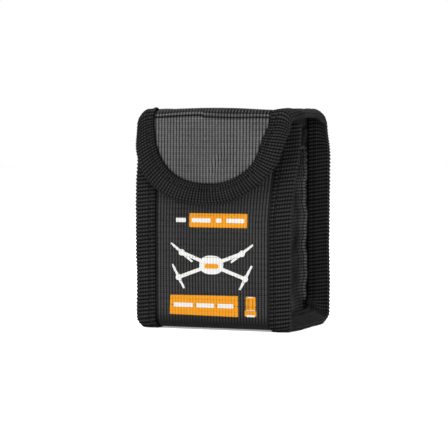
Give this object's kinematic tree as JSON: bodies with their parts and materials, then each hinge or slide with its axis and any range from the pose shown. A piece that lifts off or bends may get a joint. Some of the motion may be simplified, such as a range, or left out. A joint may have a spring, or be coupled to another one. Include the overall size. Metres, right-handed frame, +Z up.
{
  "type": "battery safe bag",
  "caption": "Upright box-shaped pouch of coated glass-fibre cloth with tape-bound edges and a rounded fold-over flap, for storing drone battery packs.",
  "frame": {"origin": "under the middle of the bag, on the surface it stands on", "axes": "+Z up, the printed front and the flap face -Y, +X to the viewer's right"},
  "size_m": [0.078, 0.062, 0.104],
  "materials": {
    "body_cloth": "coated glass-fibre cloth, black, fine upright ribs, satin",
    "flap_cloth": "the same coated cloth where it faces the light, dark grey, satin",
    "lining": "plain woven lining, charcoal, matte",
    "binding_tape": "ribbed webbing tape, black, matte",
    "thread": "twisted sewing thread, black",
    "loop_pile": "soft loop pile, black",
    "hook_pile": "moulded hook tape, black",
    "orange_print": "screen print, orange, matte",
    "white_print": "screen print, white, matte"
  },
  "bodies": {
    "bag": {"front_panel": "body_cloth", "base_panel": "body_cloth", "back_panel": "body_cloth", "left_gusset": "body_cloth", "right_gusset": "body_cloth", "front_lining": "lining", "base_lining": "lining", "back_lining": "lining", "left_lining": "lining", "right_lining": "lining", "left_edge_tape": "binding_tape", "right_edge_tape": "binding_tape", "mouth_tape": "binding_tape", "left_gusset_hem": "binding_tape", "right_gusset_hem": "binding_tape", "loop_patch": "loop_pile", "upper_label": "orange_print", "upper_label_marks": "white_print", "drone_pictogram": "white_print", "lower_label": "orange_print", "lower_label_marks": "white_print", "battery_symbol": "orange_print", "left_edge_stitching": "thread", "right_edge_stitching": "thread", "mouth_stitching": "thread", "gusset_hem_stitching": "thread", "loop_patch_stitching": "thread"},
    "flap_top": {"top_panel": "flap_cloth", "top_lining": "lining", "left_top_tape": "binding_tape", "right_top_tape": "binding_tape", "top_tape_stitching": "thread"},
    "flap_front": {"flap_panel": "flap_cloth", "flap_lining": "lining", "flap_edge_tape": "binding_tape", "flap_edge_stitching": "thread", "hook_patch": "hook_pile", "hook_patch_stitching": "thread"}
  },
  "joints": [
    {"name": "flap_top_hinge", "type": "hinge", "parent": "bag", "child": "flap_top", "pos_m": [0, 0.0312, 0.0987], "axis": [-1, 0, 0], "range_deg": [0, 180]},
    {"name": "flap_front_hinge", "type": "hinge", "parent": "flap_top", "child": "flap_front", "pos_m": [0, -0.0312, 0.0995], "axis": [-1, 0, 0], "range_deg": [0, 120]}
  ]
}
